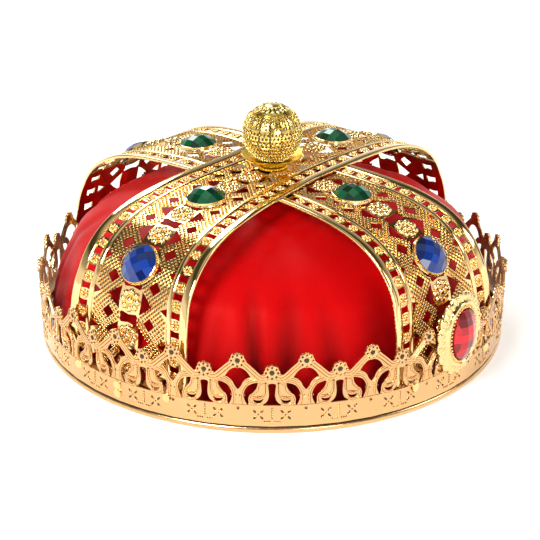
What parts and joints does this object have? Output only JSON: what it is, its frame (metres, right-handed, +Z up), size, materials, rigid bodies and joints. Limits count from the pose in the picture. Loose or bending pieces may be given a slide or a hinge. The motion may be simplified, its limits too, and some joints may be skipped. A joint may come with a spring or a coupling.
{
  "type": "costume crown",
  "caption": "Round costume crown: pierced gold band, two crossing arches, a red cloth cap, set coloured stones and an orb that turns on a screw at the crossing.",
  "frame": {"origin": "centre of the rim's underside", "axes": "+Z up through the orb, -Y to the front with the red stone, +X to the right arch"},
  "size_m": [0.1897, 0.195, 0.094],
  "materials": {
    "gold_plate": "mirror-bright gold plating on thin pressed sheet",
    "red_satin": "smooth satin-weave cloth with a soft sheen",
    "hem_ribbon": "ribbed ribbon",
    "green_glass": "facet-cut, foil-backed",
    "blue_glass": "facet-cut, foil-backed",
    "red_glass": "facet-cut, foil-backed",
    "zinc_steel": "zinc-plated"
  },
  "bodies": {
    "crown": {"band": "gold_plate", "rim_hoop": "gold_plate", "seam_rivets": "gold_plate", "side_arch": "gold_plate", "front_rear_arch": "gold_plate", "foot_rivets": "gold_plate", "cap": "red_satin", "cap_hem": "hem_ribbon", "red_rosette": "gold_plate", "red_stone": "red_glass", "green_setting_front": "gold_plate", "green_setting_rear": "gold_plate", "green_setting_left": "gold_plate", "green_setting_right": "gold_plate", "green_stone_front": "green_glass", "green_stone_rear": "green_glass", "green_stone_left": "green_glass", "green_stone_right": "green_glass", "blue_setting_front": "gold_plate", "blue_setting_rear": "gold_plate", "blue_setting_left": "gold_plate", "blue_setting_right": "gold_plate", "blue_stone_front": "blue_glass", "blue_stone_rear": "blue_glass", "blue_stone_left": "blue_glass", "blue_stone_right": "blue_glass", "base_disc": "gold_plate", "centre_screw": "zinc_steel", "crossing_washer": "zinc_steel", "crossing_nut": "zinc_steel"},
    "orb": {"orb_upper": "gold_plate", "orb_lower": "gold_plate", "orb_cup": "gold_plate", "orb_neck": "gold_plate"}
  },
  "joints": [
    {"name": "orb_turn", "type": "hinge", "parent": "crown", "child": "orb", "pos_m": [0, 0, 0.0716], "axis": [0, 0, 1], "continuous": true}
  ]
}
